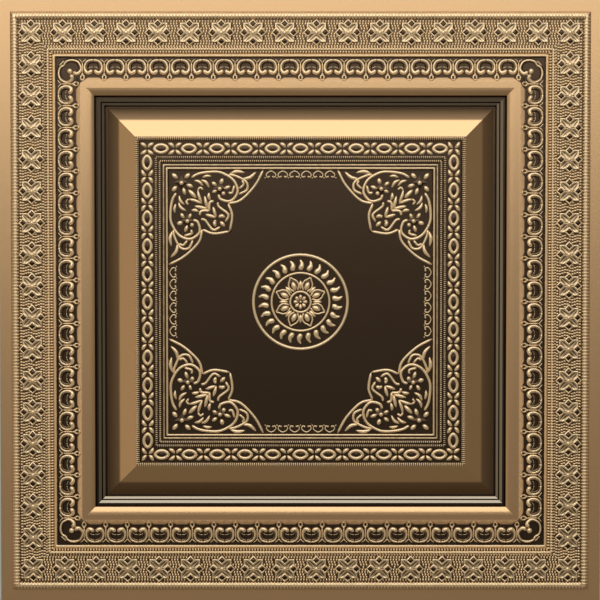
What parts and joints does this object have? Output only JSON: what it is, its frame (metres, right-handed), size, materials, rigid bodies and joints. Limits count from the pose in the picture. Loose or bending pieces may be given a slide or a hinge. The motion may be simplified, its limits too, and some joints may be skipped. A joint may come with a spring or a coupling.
{
  "type": "pressed tin ceiling tile",
  "caption": "Square pressed tin lay-in ceiling tile: flat flange, star frieze, scroll band, moulded frame, raised panel with oval border, corner fans and a centre medallion.",
  "frame": {"origin": "centre of the tile, at the underside of the groove that it lies on", "axes": "+Z out of the decorated face, +X and +Y along the tile's sides, +Y towards the top of the pattern"},
  "size_m": [0.603, 0.603, 0.0193],
  "materials": {
    "gold_lacquered_tin": "antique gold lacquer with a dark patina left in the hollows"
  },
  "bodies": {
    "root": {"pressed_sheet": "gold_lacquered_tin"}
  },
  "joints": []
}
